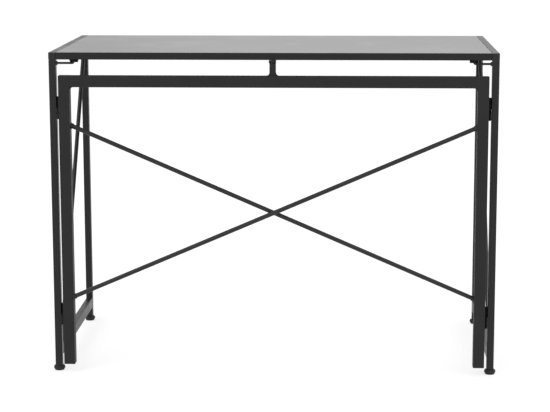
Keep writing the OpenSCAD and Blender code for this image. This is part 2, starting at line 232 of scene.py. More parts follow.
class Effects:
    """The shader node groups that the finishes share."""

    def __init__(self) -> None:
        """Builds each group once."""
        self.grain = self._grain()
        self.edges = self._edges()
        self.dust = self._dust()
        self.handling = self._handling()

    def _grain(self) -> Tree:
        """Fine pebbled skin of sprayed powder or moulded plastic, with slow drifts in tone.

        Returns:
            The group.
        """
        scales = ("Grain Scale", "Drift Scale")
        sketch, given, made = shader_group("pebbled_skin", scales, ("Height", "Tone"))
        place = given["Vector"]
        broad_scale, fine_share, broad_share = 0.31, 0.65, 0.35
        fine = sketch.noise(place, given["Grain Scale"], roughness=0.55)
        broad = sketch.noise(place, sketch.times(given["Grain Scale"], broad_scale), detail=1.0)
        height = sketch.plus(sketch.times(fine, fine_share), sketch.times(broad, broad_share))
        drift = sketch.noise(place, given["Drift Scale"], detail=3.0, roughness=0.6)
        sketch.feed(made["Height"], height)
        sketch.feed(made["Tone"], sketch.ramp(drift, low=0.3, high=0.7))
        return sketch.tree

    def _edges(self) -> Tree:
        """Mask of outer and inner edges, broken up where hands and other parts rub.

        Returns:
            The group.
        """
        sketch, given, made = shader_group("rubbed_edges", ("Width", "Patch Scale"), ("Mask",))
        bevel = sketch.add("ShaderNodeBevel", {"Radius": given["Width"]}, samples=4)
        true = sketch.add("ShaderNodeNewGeometry")
        both = {0: bevel.outputs[0], 1: true.outputs["Normal"]}
        dot = sketch.add("ShaderNodeVectorMath", both, operation="DOT_PRODUCT")
        turned = sketch.ramp(dot.outputs["Value"], low=0.985, high=0.86)
        patches = sketch.noise(given["Vector"], given["Patch Scale"], detail=4.0, roughness=0.65)
        worn = sketch.ramp(patches, low=0.42, high=0.66)
        sketch.feed(made["Mask"], sketch.times(turned, worn, clamp=True))
        return sketch.tree

    def _dust(self) -> Tree:
        """Mask of fine dust that lies on faces that look up.

        Returns:
            The group.
        """
        sketch, given, made = shader_group("settled_dust", ("Amount", "Speck Scale"), ("Mask",))
        place = given["Vector"]
        true = sketch.add("ShaderNodeNewGeometry")
        split = sketch.add("ShaderNodeSeparateXYZ", {0: true.outputs["Normal"]})
        upward = sketch.ramp(split.outputs["Z"], low=0.55, high=0.98)
        drifts = sketch.noise(place, scale=14.0, detail=4.0, roughness=0.7)
        veil = sketch.ramp(drifts, low=0.35, high=0.75, start=0.25)
        specks = sketch.ramp(sketch.noise(place, given["Speck Scale"]), low=0.45, high=0.8, start=0.5)
        cover = sketch.times(sketch.times(upward, veil), specks)
        sketch.feed(made["Mask"], sketch.times(cover, given["Amount"], clamp=True))
        return sketch.tree

    def _handling(self) -> Tree:
        """Mask of faint smears that hands and cloths leave, and of short hairline scuffs.

        Returns:
            The group.
        """
        sketch, given, made = shader_group("handling_marks", ("Smear Scale",), ("Smears", "Scuffs"))
        place = given["Vector"]
        wiped = sketch.noise(place, given["Smear Scale"], detail=5.0, roughness=0.62)
        sketch.feed(made["Smears"], sketch.ramp(wiped, low=0.42, high=0.68))
        drawn_out = {"Vector": place, "Rotation": (0.0, 0.0, 0.5), "Scale": (6.0, 260.0, 60.0)}
        stretch = sketch.add("ShaderNodeMapping", drawn_out)
        hairs = sketch.ramp(sketch.noise(stretch.outputs[0], scale=1.0, roughness=0.6), low=0.66, high=0.72)
        few = sketch.ramp(sketch.noise(place, scale=5.0), low=0.52, high=0.6)
        sketch.feed(made["Scuffs"], sketch.times(hairs, few, clamp=True))
        return sketch.tree


class Coat(Sketch):
    """One material in the making, with its shader and its object coordinates."""

    def __init__(self, name: str, **sockets: float) -> None:
        """Makes a new material with a Principled BSDF.

        Args:
            name: the material's name.
            sockets: plain values for the shader's sockets, with _ for each space.
        """
        self.material = bpy.data.materials.new(name)
        super().__init__(emptied(self.material))
        self.shader = self.add("ShaderNodeBsdfPrincipled", spaced(sockets))
        self.add("ShaderNodeOutputMaterial", {"Surface": self.shader.outputs[0]})
        self.place = self.add("ShaderNodeTexCoord").outputs["Object"]

    def group(self, tree: Tree, **values: float) -> Sockets:
        """What a shared group makes here from its numbers, whose names have _ for each space."""
        feeds = {"Vector": self.place, **spaced(values)}
        return self.add("ShaderNodeGroup", feeds, node_tree=tree).outputs

    def end(self, colour: Socket, roughness: Socket, height: Socket, depth: float) -> Material:
        """Joins the patterns to the shader.

        Args:
            colour: the base colour's pattern.
            roughness: the roughness's pattern.
            height: the relief's pattern, 0 to 1.
            depth: the relief's depth in metres.

        Returns:
            The finished material.
        """
        bump = self.add("ShaderNodeBump", {"Strength": 1.0, "Distance": depth, "Height": height})
        ends = {"Base Color": colour, "Roughness": roughness, "Normal": bump.outputs[0]}
        for label, socket in ends.items():
            self.feed(self.shader.inputs[label], socket)
        return self.material


@dataclass(frozen=True)
class PowderCoat:
    """Satin powder coat on steel tube or rod."""

    name: str
    colour: Colour
    roughness: float
    specular: float = 0.3
    worn: Colour = (0.075, 0.073, 0.07)
    dusty: Colour = (0.16, 0.155, 0.15)
    dust: float = 0.12
    shade: float = 0.86
    grain_scale: float = 1300.0
    grain_depth: float = 0.04 * MM
    edge_width: float = 0.9 * MM
    edge_wear: float = 0.55
    edge_polish: float = 0.1
    dust_dulling: float = 0.5
    smear_dulling: float = 0.03
    smear_polish: float = 0.05

    def material(self, effects: Effects) -> Material:
        """Builds the finish from the shared groups.

        Args:
            effects: the shared groups.

        Returns:
            The material.
        """
        coat = Coat(self.name, Specular_IOR_Level=self.specular)
        skin = coat.group(effects.grain, Grain_Scale=self.grain_scale, Drift_Scale=11.0)
        edges = coat.group(effects.edges, Width=self.edge_width, Patch_Scale=75.0)["Mask"]
        dust = coat.group(effects.dust, Amount=self.dust, Speck_Scale=520.0)["Mask"]
        smears = coat.group(effects.handling, Smear_Scale=9.0)["Smears"]
        plain = coat.mix(skin["Tone"], rgba(self.colour, self.shade), rgba(self.colour))
        rubbed = coat.mix(coat.times(edges, self.edge_wear), plain, rgba(self.worn))
        dull, bright = self.roughness + self.smear_dulling, self.roughness - self.smear_polish
        sheen = coat.minus(coat.ramp(smears, 0.0, 1.0, dull, bright), coat.times(edges, self.edge_polish))
        roughness = coat.plus(sheen, coat.times(dust, self.dust_dulling), clamp=True)
        colour = coat.mix(dust, rubbed, rgba(self.dusty))
        return coat.end(colour, roughness, skin["Height"], self.grain_depth)


@dataclass(frozen=True)
class Laminate:
    """Pressed laminate or edge band of the desktop."""

    name: str
    colour: Colour
    roughness: float
    specular: float
    dusty: Colour = (0.3, 0.29, 0.28)
    dust: float = 0.06
    light: float = 1.05
    pearl_scale: float = 2100.0
    pearl_depth: float = 0.012 * MM
    scuffed: Colour = (0.3, 0.3, 0.3)
    scuff_share: float = 0.1
    scuff_dulling: float = 0.08
    smear_dulling: float = 0.015
    smear_polish: float = 0.02

    def material(self, effects: Effects) -> Material:
        """Builds the finish from the shared groups.

        Args:
            effects: the shared groups.

        Returns:
            The material.
        """
        coat = Coat(self.name, Specular_IOR_Level=self.specular)
        skin = coat.group(effects.grain, Grain_Scale=self.pearl_scale, Drift_Scale=3.0)
        dust = coat.group(effects.dust, Amount=self.dust, Speck_Scale=700.0)["Mask"]
        marks = coat.group(effects.handling, Smear_Scale=6.0)
        plain = coat.mix(skin["Tone"], rgba(self.colour), rgba(self.colour, self.light))
        scuffed = coat.mix(coat.times(marks["Scuffs"], self.scuff_share), plain, rgba(self.scuffed))
        dull, bright = self.roughness + self.smear_dulling, self.roughness - self.smear_polish
        sheen = coat.ramp(marks["Smears"], 0.0, 1.0, dull, bright)
        roughness = coat.plus(sheen, coat.times(marks["Scuffs"], self.scuff_dulling), clamp=True)
        colour = coat.mix(dust, scuffed, rgba(self.dusty))
        return coat.end(colour, roughness, skin["Height"], self.pearl_depth)


@dataclass(frozen=True)
class MouldedPlastic:
    """Black moulded plastic with a fine spark-eroded skin."""

    name: str
    colour: Colour
    roughness: float = 0.5
    specular: float = 0.35
    worn: Colour = (0.05, 0.05, 0.05)
    dusty: Colour = (0.14, 0.135, 0.13)
    dust: float = 0.18
    light: float = 1.5
    grain_depth: float = 0.05 * MM
    edge_width: float = 0.6 * MM
    edge_wear: float = 0.5
    smooth: float = 0.04
    rough: float = 0.06

    def material(self, effects: Effects) -> Material:
        """Builds the finish from the shared groups.

        Args:
            effects: the shared groups.

        Returns:
            The material.
        """
        coat = Coat(self.name, Specular_IOR_Level=self.specular)
        skin = coat.group(effects.grain, Grain_Scale=1700.0, Drift_Scale=40.0)
        dust = coat.group(effects.dust, Amount=self.dust, Speck_Scale=640.0)["Mask"]
        edges = coat.group(effects.edges, Width=self.edge_width, Patch_Scale=120.0)["Mask"]
        plain = coat.mix(skin["Tone"], rgba(self.colour), rgba(self.colour, self.light))
        worn = coat.mix(coat.times(edges, self.edge_wear), plain, rgba(self.worn))
        bright, dull = self.roughness - self.smooth, self.roughness + self.rough
        roughness = coat.ramp(skin["Tone"], 0.0, 1.0, bright, dull)
        colour = coat.mix(dust, worn, rgba(self.dusty))
        return coat.end(colour, roughness, skin["Height"], self.grain_depth)


@dataclass(frozen=True)
class TurnedSteel:
    """Bare steel: plated screws and studs, or oiled pins, with fine turning lines."""

    name: str
    colour: Colour
    stained: Colour
    roughness: float
    light: float = 1.35
    edge_width: float = 0.4 * MM
    smooth: float = 0.06
    rough: float = 0.12
    line_scale: float = 5200.0
    line_share: float = 0.4
    line_depth: float = 0.008 * MM

    def material(self, effects: Effects) -> Material:
        """Builds the finish from the shared groups.

        Args:
            effects: the shared groups.

        Returns:
            The material.
        """
        coat = Coat(self.name, Metallic=1.0)
        skin = coat.group(effects.grain, Grain_Scale=2600.0, Drift_Scale=260.0)
        edges = coat.group(effects.edges, Width=self.edge_width, Patch_Scale=300.0)["Mask"]
        tarnish = coat.mix(skin["Tone"], rgba(self.colour), rgba(self.stained))
        bright, dull = self.roughness - self.smooth, self.roughness + self.rough
        roughness = coat.ramp(skin["Tone"], 0.0, 1.0, bright, dull)
        turns = {"Vector": coat.place, "Scale": self.line_scale / math.tau}
        lines = coat.add("ShaderNodeTexWave", turns, wave_type="BANDS", bands_direction="Z").outputs["Fac"]
        height = coat.plus(coat.times(lines, self.line_share), skin["Height"])
        colour = coat.mix(edges, tarnish, rgba(self.colour, self.light))
        return coat.end(colour, roughness, height, self.line_depth)


class Look(Enum):
    """Every finish of the desk."""

    FRAME = PowderCoat("frame_coat", (0.0150, 0.0138, 0.0141), 0.39)
    WIDE_TUBE = PowderCoat("wide_tube_coat", (0.0148, 0.0138, 0.0140), 0.6, 0.32)
    ROD = PowderCoat("rod_coat", (0.024, 0.0225, 0.0225), 0.37, dust=0.1, grain_scale=1700.0)
    WELD = PowderCoat(
        "weld_coat", (0.0145, 0.0135, 0.0138), 0.38, grain_scale=900.0, grain_depth=0.07 * MM
    )
    LATCH = PowderCoat(
        "latch_coat", (0.014, 0.014, 0.014), 0.4, worn=(0.14, 0.14, 0.14), grain_scale=1900.0
    )
    # The hinge coat is real black paint made darker still as painted shade, standing in for the shade in
    # the crevice between leg and upright where the knuckles sit. The knuckle seams and the keepers take the
    # same painted shade.
    HINGE = PowderCoat("hinge_coat", (0.0035, 0.0035, 0.0035), 0.6, 0.09, (0.05, 0.05, 0.05), dust=0.03)
    PLASTIC = MouldedPlastic("black_moulding", (0.010, 0.010, 0.010))
    PAD = MouldedPlastic("foot_moulding", (0.012, 0.0118, 0.0115), 0.58, grain_depth=0.08 * MM)
    BOARD = Laminate("top_laminate", (0.105, 0.105, 0.108), 0.34, 0.5)
    UNDERSIDE = Laminate("underside_laminate", (0.03, 0.03, 0.03), 0.55, 0.35, dust=0.0)
    BAND = Laminate("edge_band", (0.0105, 0.0098, 0.0095), 0.44, 0.28, dust=0.03)
    PIN = TurnedSteel("oiled_steel", (0.22, 0.215, 0.21), (0.1, 0.095, 0.09), 0.38)
    SCREW = TurnedSteel("plated_steel", (0.56, 0.56, 0.54), (0.4, 0.4, 0.38), 0.3)


# Objects, meshes and Geometry Nodes


def as_object(name: str, data: Mesh | bpy.types.Light | bpy.types.Camera) -> Object:
    """Links a mesh, a lamp or a camera to the scene as a new object.

    Args:
        name: the object's name.
        data: what it shows.

    Returns:
        The object.
    """
    made = bpy.data.objects.new(name, data)
    bpy.context.scene.collection.objects.link(made)
    return made


def outward(mesh: Mesh) -> None:
    """Turns the faces of closed shells outwards.

    Args:
        mesh: the mesh that is changed.
    """
    work = bmesh.new()
    work.from_mesh(mesh)
    bmesh.ops.recalc_face_normals(work, faces=work.faces)
    work.to_mesh(mesh)
    work.free()


def ring(
    centre: Point, first: Point, second: Point, start: float = 0.0, sweep: float = 360.0, steps: int = 28
) -> Path:
    """An ellipse or an arc of one.

    Args:
        centre: its middle, in metres.
        first: the half axis at 0 degrees.
        second: the half axis at 90 degrees.
        start: where the arc starts, in degrees.
        sweep: how far it goes, in degrees. 360 closes it.
        steps: how many straight bits it has.

    Returns:
        The points. A closed ring's last point is its first.
    """
    middle, a, b = Vector(centre), Vector(first), Vector(second)
    path = []
    for i in range(steps + 1):
        turn = math.radians(start + sweep * (i % steps if sweep >= 360 else i) / steps)
        path.append(tuple(middle + a * math.cos(turn) + b * math.sin(turn)))
    return path


def paths_mesh(name: str, paths: Iterable[Path]) -> Mesh:
    """A mesh of bare edges.

    Args:
        name: the mesh's name.
        paths: polylines in metres. A path whose last point is its first is a ring.

    Returns:
        The mesh.
    """
    points: Path = []
    edges: list[tuple[int, int]] = []
    for path in paths:
        first = len(points)
        closed = path[0] == path[-1]
        corners = path[:-1] if closed else path
        points.extend(corners)
        edges.extend((first + i, first + i + 1) for i in range(len(corners) - 1))
        if closed:
            edges.append((first + len(corners) - 1, first))
    mesh = bpy.data.meshes.new(name)
    mesh.from_pydata(points, edges, [])
    return mesh


class Recipe(Sketch):
    """A Geometry Nodes tree with named inputs, which is run once over a carrier."""

    def __init__(self, name: str, **inputs: str) -> None:
        """Makes the tree with its sockets.

        Args:
            name: the tree's name.
            inputs: each named input with its kind of value. Material is added to them.
        """
        tree = bpy.data.node_groups.new(name, "GeometryNodeTree")
        tree.is_modifier = True
        sockets = tree.interface
        sockets.new_socket("Geometry", in_out="INPUT", socket_type="NodeSocketGeometry")
        self.keys: dict[str, str] = {}
        for label, kind in {**inputs, "Material": "Material"}.items():
            made = sockets.new_socket(label, in_out="INPUT", socket_type=f"NodeSocket{kind}")
            self.keys[label] = made.identifier
        sockets.new_socket("Geometry", in_out="OUTPUT", socket_type="NodeSocketGeometry")
        super().__init__(tree)
        self.given = self.add("NodeGroupInput").outputs
        self.made = self.add("NodeGroupOutput").inputs

    def close(self, shape: Socket, smooth: bool = True) -> None:
        """Ends the tree: instances made real, then the material.

        Args:
            shape: the geometry.
            smooth: whether faces are shaded smooth.
        """
        real = self.add("GeometryNodeRealizeInstances", {0: shape})
        shaded = {"Geometry": real.outputs[0], "Shade Smooth": smooth}
        soft = self.add("GeometryNodeSetShadeSmooth", shaded)
        coated = {"Geometry": soft.outputs[0], "Material": self.given["Material"]}
        self.feed(self.made[0], self.add("GeometryNodeSetMaterial", coated).outputs[0])

    def run(self, name: str, carrier: Mesh, values: dict[str, object]) -> Object:
        """Makes one plain mesh.

        Args:
            name: the new piece's name.
            carrier: the paths or points that the tree works on.
            values: the named inputs.

        Returns:
            The piece, without a modifier.
        """
        holder = as_object(f"{name}_carrier", carrier)
        modifier = holder.modifiers.new("make", "NODES")
        modifier.node_group = self.tree
        for label, value in values.items():
            modifier[self.keys[label]] = value
        graph = bpy.context.evaluated_depsgraph_get()
        solved = holder.evaluated_get(graph)
        mesh = bpy.data.meshes.new_from_object(solved, preserve_all_data_layers=True, depsgraph=graph)
        holder.modifiers.remove(modifier)
        bpy.data.objects.remove(holder)
        bpy.data.meshes.remove(carrier)
        outward(mesh)
        mesh.name = name
        return as_object(name, mesh)


@dataclass(frozen=True)
class Seam:
    """One kind of weld: its piece, its bead's radius in metres, its seed, finish and slot."""

    name: str
    radius: float
    seed: int
    look: Look
    slot: Slot


class WeldBead(Recipe):
    """A row of overlapping ripples along each path, as a hand-laid weld has under its paint."""

    SMALLEST = 0.86
    FLATNESS = 0.7
    PITCH = 0.62

    def __init__(self) -> None:
        """Builds the tree."""
        super().__init__("weld_bead", Pitch="Float", Radius="Float", Flatness="Float", Seed="Int")
        given = self.given
        curve = self.add("GeometryNodeMeshToCurve", {"Mesh": given["Geometry"]})
        spacing = {"Curve": curve.outputs[0], "Length": given["Pitch"]}
        even = self.add("GeometryNodeResampleCurve", spacing, mode="LENGTH")
        spots = self.add("GeometryNodeCurveToPoints", {"Curve": even.outputs[0]}, mode="EVALUATED").outputs
        ball = {"Segments": 12, "Rings": 6, "Radius": given["Radius"]}
        ripple = self.add("GeometryNodeMeshUVSphere", ball)
        chance = {2: self.SMALLEST, 3: 1.0, "Seed": given["Seed"]}
        wide = self.add("FunctionNodeRandomValue", chance, data_type="FLOAT").outputs[1]
        size = self.add("ShaderNodeCombineXYZ", {0: wide, 1: wide, 2: given["Flatness"]})
        laid = {"Points": spots["Points"], "Instance": ripple.outputs["Mesh"]}
        laid |= {"Rotation": spots["Rotation"], "Scale": size.outputs[0]}
        self.close(self.add("GeometryNodeInstanceOnPoints", laid).outputs[0])

    def lay(self, name: str, seam: Seam, paths: Iterable[Path], material: Material) -> Object:
        """Lays beads of the seam's size along paths in metres, as one piece."""
        size = {"Pitch": seam.radius * self.PITCH, "Radius": seam.radius, "Flatness": self.FLATNESS}
        return self.run(name, paths_mesh(name, paths), {**size, "Seed": seam.seed, "Material": material})


def wall(work: bmesh.types.BMesh, low: Sequence[Vert], high: Sequence[Vert]) -> None:
    """Joins two closed loops of corners by a wall of faces.

    Args:
        work: the mesh in the making.
        low: the corners of one loop.
        high: those of the other.
    """
    for i in range(len(low)):
        j = (i + 1) % len(low)
        work.faces.new((low[i], low[j], high[j], high[i]))


@dataclass(frozen=True)
class CrossScrew:
    """A screw with a cross recess. It points along +Z from its head's face."""

    name: str
    head_d: float
    head_h: float
    shank_d: float
    length: float
    head: Head
    sides: int = 28
    crown_inset: float = 0.12 * MM
    crown_depth: float = 0.02 * MM
    rim_depth: float = 0.16 * MM
    cone_start: float = 0.24 * MM
    point_length: float = 1.6 * MM
    point_radius: float = 0.25 * MM
    mouth: tuple[float, float] = (0.62, 0.15)
    floor: tuple[float, float] = (0.36, 0.11)
    recess_depth: float = 0.72

    def _outline(self) -> list[tuple[float, float]]:
        """The screw's profile as radii and depths, from the head's face to the point.

        Returns:
            The profile's corners.
        """
        rim, shank = self.head_d / 2, self.shank_d / 2
        flank = self.cone_start if self.head is Head.COUNTERSUNK else self.head_h
        head = [(rim - self.crown_inset, self.crown_depth), (rim, self.rim_depth), (rim, flank)]
        point = [(shank, self.length - self.point_length), (self.point_radius, self.length)]
        return [*head, (shank, self.head_h), *point]

    def _cross(self, shares: tuple[float, float], depth: float) -> Path:
        """Corners of the recess at one depth, as a plus sign.

        Args:
            shares: an arm's reach and half its width, as shares of the head's radius.
            depth: how far below the head's face they lie.

        Returns:
            The corners.
        """
        reach, half = (self.head_d / 2 * share for share in shares)
        plan = ((reach, -half), (reach, half), (half, half), (half, reach), (-half, reach), (-half, half))
        return [(x * s, y * s, depth) for s in (1, -1) for x, y in plan]

    def mesh(self) -> Mesh:
        """Builds the screw's mesh.

        Returns:
            A closed mesh in metres.
        """
        work = bmesh.new()
        turns = [math.tau * i / self.sides for i in range(self.sides)]
        loops = [[(r * math.cos(a), r * math.sin(a), z) for a in turns] for r, z in self._outline()]
        rings = [[work.verts.new(corner) for corner in loop] for loop in loops]
        for low, high in zip(rings, rings[1:]):
            wall(work, low, high)
        work.faces.new(rings[-1])
        mouth = [work.verts.new(corner) for corner in self._cross(self.mouth, 0.0)]
        depth = self.head_h * self.recess_depth
        floor = [work.verts.new(corner) for corner in self._cross(self.floor, depth)]
        edges = []
        for loop in (rings[0], mouth):
            for pair in zip(loop, loop[1:] + loop[:1]):
                edges.append(work.edges.get(pair) or work.edges.new(pair))
        bmesh.ops.triangle_fill(work, use_beauty=True, edges=edges)
        wall(work, mouth, floor)
        work.faces.new(floor)
        bmesh.ops.recalc_face_normals(work, faces=work.faces)
        made = bpy.data.meshes.new(self.name)
        work.to_mesh(made)
        work.free()
        return made


class ScrewSet(Recipe):
    """Copies of one screw at points, each along its own axis and turned at random."""

    def __init__(self) -> None:
        """Builds the tree."""
        super().__init__("screw_set", Screw="Object", Seed="Int")
        spots = self.add("GeometryNodeMeshToPoints", {"Mesh": self.given["Geometry"]}, mode="VERTICES")
        axis = self.add("GeometryNodeInputNamedAttribute", {"Name": "axis"}, data_type="FLOAT_VECTOR")
        aim = self.add("FunctionNodeAlignRotationToVector", {"Vector": axis.outputs[0]}, axis="Z")
        half_turn = {2: 0.0, 3: math.pi, "Seed": self.given["Seed"]}
        chance = self.add("FunctionNodeRandomValue", half_turn, data_type="FLOAT")
        spin = self.add("FunctionNodeAxisAngleToRotation", {"Angle": chance.outputs[1]})
        both = {0: aim.outputs[0], 1: spin.outputs[0]}
        turned = self.add("FunctionNodeRotateRotation", both, rotation_space="LOCAL")
        screw = self.add("GeometryNodeObjectInfo", {"Object": self.given["Screw"]}).outputs["Geometry"]
        driven = {"Points": spots.outputs[0], "Instance": screw, "Rotation": turned.outputs[0]}
        self.close(self.add("GeometryNodeInstanceOnPoints", driven).outputs[0], smooth=False)

    def drive(self, name: str, screw: CrossScrew, spots: Spots, seed: int, material: Material) -> Object:
        """Drives a screw at each spot.

        Args:
            name: the piece's name.
            screw: the screw.
            spots: the middle of each head's face, with the direction into the material.
            seed: the seed of the heads' turns.
            material: the finish.

        Returns:
            The screws as one piece.
        """
        carrier = bpy.data.meshes.new(name)
        carrier.from_pydata([spot for spot, _ in spots], [], [])
        axes = carrier.attributes.new("axis", "FLOAT_VECTOR", "POINT")
        for item, (_, way) in zip(axes.data, spots):
            item.vector = way
        model = as_object(f"{name}_pattern", screw.mesh())
        piece = self.run(name, carrier, {"Screw": model, "Seed": seed, "Material": material})
        bpy.data.objects.remove(model)
        return piece


class ThreadedStud(Recipe):
    """A levelling foot's stud: a core with a thread wound round it."""

    RUNOUT = 0.6 * MM

    def __init__(self) -> None:
        """Builds the tree."""
        super().__init__(
            "threaded_stud", Radius="Float", Core="Float", Turns="Float", Length="Float", Base="Vector"
        )
        radius, core, length = (self.given[label] for label in ("Radius", "Core", "Length"))
        middle = self.times(self.plus(radius, core), 0.5)
        wound = {"Resolution": 18, "Rotations": self.given["Turns"]}
        wound |= {"Start Radius": middle, "End Radius": middle}
        wound["Height"] = self.minus(length, 2 * self.RUNOUT)
        helix = self.add("GeometryNodeCurveSpiral", wound)
        ridge = {"Resolution": 6, "Radius": self.times(self.minus(radius, core), 0.5)}
        profile = self.add("GeometryNodeCurvePrimitiveCircle", ridge, mode="RADIUS")
        swept = {"Curve": helix.outputs[0], "Profile Curve": profile.outputs[0], "Fill Caps": True}
        thread = self.add("GeometryNodeCurveToMesh", swept)
        rod = self.add("GeometryNodeMeshCylinder", {"Vertices": 28, "Radius": core, "Depth": length})
        half_up = self.add("ShaderNodeCombineXYZ", {2: self.times(length, 0.5)}).outputs[0]
        both = self.add("GeometryNodeJoinGeometry")
        for shape, lift in ((thread.outputs[0], (0.0, 0.0, self.RUNOUT)), (rod.outputs["Mesh"], half_up)):
            self.feed(both.inputs[0], self._moved(shape, lift))
        self.close(self._moved(both.outputs[0], self.given["Base"]))

    def _moved(self, shape: Socket, way: object) -> Socket:
        """The shape, moved by a vector."""
        return self.add("GeometryNodeTransform", {"Geometry": shape, "Translation": way}).outputs[0]


# Sub-assemblies


def settle(piece: Object, body: str, slot: Slot, *nodes: str) -> None:
    """Gives a finished piece its body and hides the CAD nodes that it stands for.

    Args:
        piece: the piece, in place.
        body: the CAD body that it rides on.
        slot: the record's slot. Not used.
        nodes: CAD nodes that it replaces.
    """
    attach(piece, body)
    if nodes:
        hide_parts(*nodes)
    log.info("%s: %d faces, rides on %s", piece.name, len(piece.data.polygons), body)


class Tools:
    """What every sub-assembly is built with: the finishes and the Geometry Nodes trees."""

    def __init__(self) -> None:
        """Makes each of them once."""
        effects = Effects()
        self.coats = {look: look.value.material(effects) for look in Look}
        self.bead = WeldBead()
        self.screws = ScrewSet()
        self.stud = ThreadedStud()

    def dress(self, look: Look, *nodes: str) -> None:
        """Puts a finish on CAD nodes whose shape is right.

        Args:
            look: the finish.
            nodes: the nodes' names.
        """
        for name in nodes:
            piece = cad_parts[name]
            if not piece.material_slots:
                piece.data.materials.append(self.coats[look])
            for spot in piece.material_slots:
                spot.material = self.coats[look]

    def weld(self, name: str, seam: Seam, paths: Iterable[Path], body: str) -> None:
        """Lays one kind of weld as a piece of its own."""
        settle(self.bead.lay(name, seam, paths, self.coats[seam.look]), body, seam.slot)


def knuckle_lines(node: str, corner: int, web_half: float = 2.6 * MM, short: float = MM) -> list[Path]:
    """Lines along both sides of the webs of a side hinge's knuckles, for the left hand.

    Args:
        node: the knuckles' node.
        corner: which corner of its box the lines' x comes from, 0 for the low one and 1 for the high one.
        web_half: half the web's thickness.
        short: how far a line stops before a knuckle's end.

    Returns:
        The lines.
    """
    low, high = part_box(node)
    x = (low[0], high[0])[corner]
    middle = (low[1] + high[1]) / 2
    lines = []
    for z in (low[2], high[2] - KNUCKLE_LENGTH):
        for y in (middle - web_half, middle + web_half):
            lines.append([(x, y, z + short), (x, y, z + KNUCKLE_LENGTH - short)])
    return lines


@dataclass
class BackFrame:
    """The fixed frame: uprights, crossbar, post, crossed rods and their joints."""

    tools: Tools
    corner_seam: Seam = Seam("crossbar_corner_seams", 2.2 * MM, 3, Look.WELD, Slot.FRAME)
    corner_offset: float = 1.35 * MM
    corner_short: float = 2.4 * MM
    face_seam: Seam = Seam("crossbar_face_seams", 0.62 * MM, 4, Look.WIDE_TUBE, Slot.FRAME)
    face_out: float = 0.45 * MM
    face_short: tuple[float, float] = (1.0 * MM, 1.6 * MM)
    post_seam: Seam = Seam("post_foot_seam", 1.3 * MM, 5, Look.WELD, Slot.FRAME)
    post_lift: float = 0.3 * MM
    post_rounding: float = 1.5 * MM
    post_corner_turn: float = 0.7
    rod_seam: Seam = Seam("cross_rod_seams", 1.0 * MM, 7, Look.WELD, Slot.ROD)
    rod_collar: float = 5.9 * MM
    rod_inward: float = 0.2 * MM
    knuckle_seam: Seam = Seam("fixed_knuckle_seams", 0.6 * MM, 11, Look.HINGE, Slot.HINGE)

    def build(self) -> None:
        """Dresses the frame and lays its welds."""
        dress = self.tools.dress
        dress(Look.WIDE_TUBE, "left_upright", "right_upright", "upright_top_plugs")
        dress(Look.WIDE_TUBE, "crossbar", "centre_post")
        dress(Look.ROD, "cross_rod_near", "cross_rod_far")
        dress(Look.PLASTIC, "upright_foot_plugs")
        # The fixed knuckles' near-black coat is black paint plus painted shade.
        dress(Look.HINGE, "left_fixed_knuckles", "right_fixed_knuckles")
        dress(Look.FRAME, "top_hinge_base")
        dress(Look.PIN, "left_hinge_pins", "right_hinge_pins", "top_hinge_pin")
        lines = (
            (self.corner_seam, self._corner_lines()),
            (self.face_seam, self._face_lines()),
            (self.post_seam, [self._post_line()]),
            (self.rod_seam, self._rod_rings()),
            (self.knuckle_seam, self._both(knuckle_lines("left_fixed_knuckles", 1))),
        )
        for seam, paths in lines:
            self.tools.weld(seam.name, seam, paths, Body.BACK_FRAME.value)

    def _both(self, paths: Iterable[Path]) -> list[Path]:
        """Each path as drawn for the left hand, and mirrored."""
        return [side.turn(path) for path in paths for side in Side]

    def _corner_lines(self) -> list[Path]:
        """Fillets under the crossbar's ends.

        Returns:
            Their lines.
        """
        low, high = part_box("crossbar")
        x = low[0] + self.corner_offset
        z = high[2] - (high[1] - low[1]) - self.corner_offset
        return self._both([[(x, low[1] + self.corner_short, z), (x, high[1] - self.corner_short, z)]])

    def _face_lines(self) -> list[Path]:
        """Ground seams that fill the grooves between the crossbar's ends and the uprights.

        Returns:
            Their lines.
        """
        low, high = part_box("crossbar")
        x = low[0] - self.face_out
        bottom = high[2] - (high[1] - low[1]) + self.face_short[0]
        top = high[2] - self.face_short[1]
        inset = self.face_seam.radius
        return self._both([(x, y, bottom), (x, y, top)] for y in (low[1] + inset, high[1] - inset))

    def _post_line(self) -> Path:
        """The seam round the post's foot, with rounded corners.

        Returns:
            The closed line.
        """
        low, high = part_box("top_hinge_base")
        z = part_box("crossbar")[1][2] + self.post_lift
        middle = (low[1] + high[1]) / 2
        straight = (high[0] - low[0]) / 2 - self.post_rounding
        path: Path = []
        for k in range(4):
            corner = math.radians(45 + 90 * k)
            x = straight * math.copysign(1, math.cos(corner))
            y = middle + straight * math.copysign(1, math.sin(corner))
            for turn in (corner - self.post_corner_turn, corner, corner + self.post_corner_turn):
                dx, dy = self.post_rounding * math.cos(turn), self.post_rounding * math.sin(turn)
                path.append((x + dx, y + dy, z))
        return path + [path[0]]

    def _rod_rings(self) -> list[Path]:
        """Rings where the crossed rods meet the uprights.

        Returns:
            Their lines.
        """
        rings = []
        for node in ("cross_rod_near", "cross_rod_far"):
            low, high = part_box(node)
            y = (low[1] + high[1]) / 2
            slope = math.atan2(high[2] - low[2] - 2 * self.rod_collar, high[0] - low[0])
            tall = self.rod_collar / math.cos(slope)
            rising = node == "cross_rod_near"
            for x, at_low in ((low[0], rising), (high[0], not rising)):
                z = low[2] + tall if at_low else high[2] - tall
                centre = (x - math.copysign(self.rod_inward, x), y, z)
                rings.append(ring(centre, (0.0, self.rod_collar, 0.0), (0.0, 0.0, tall)))
        return rings


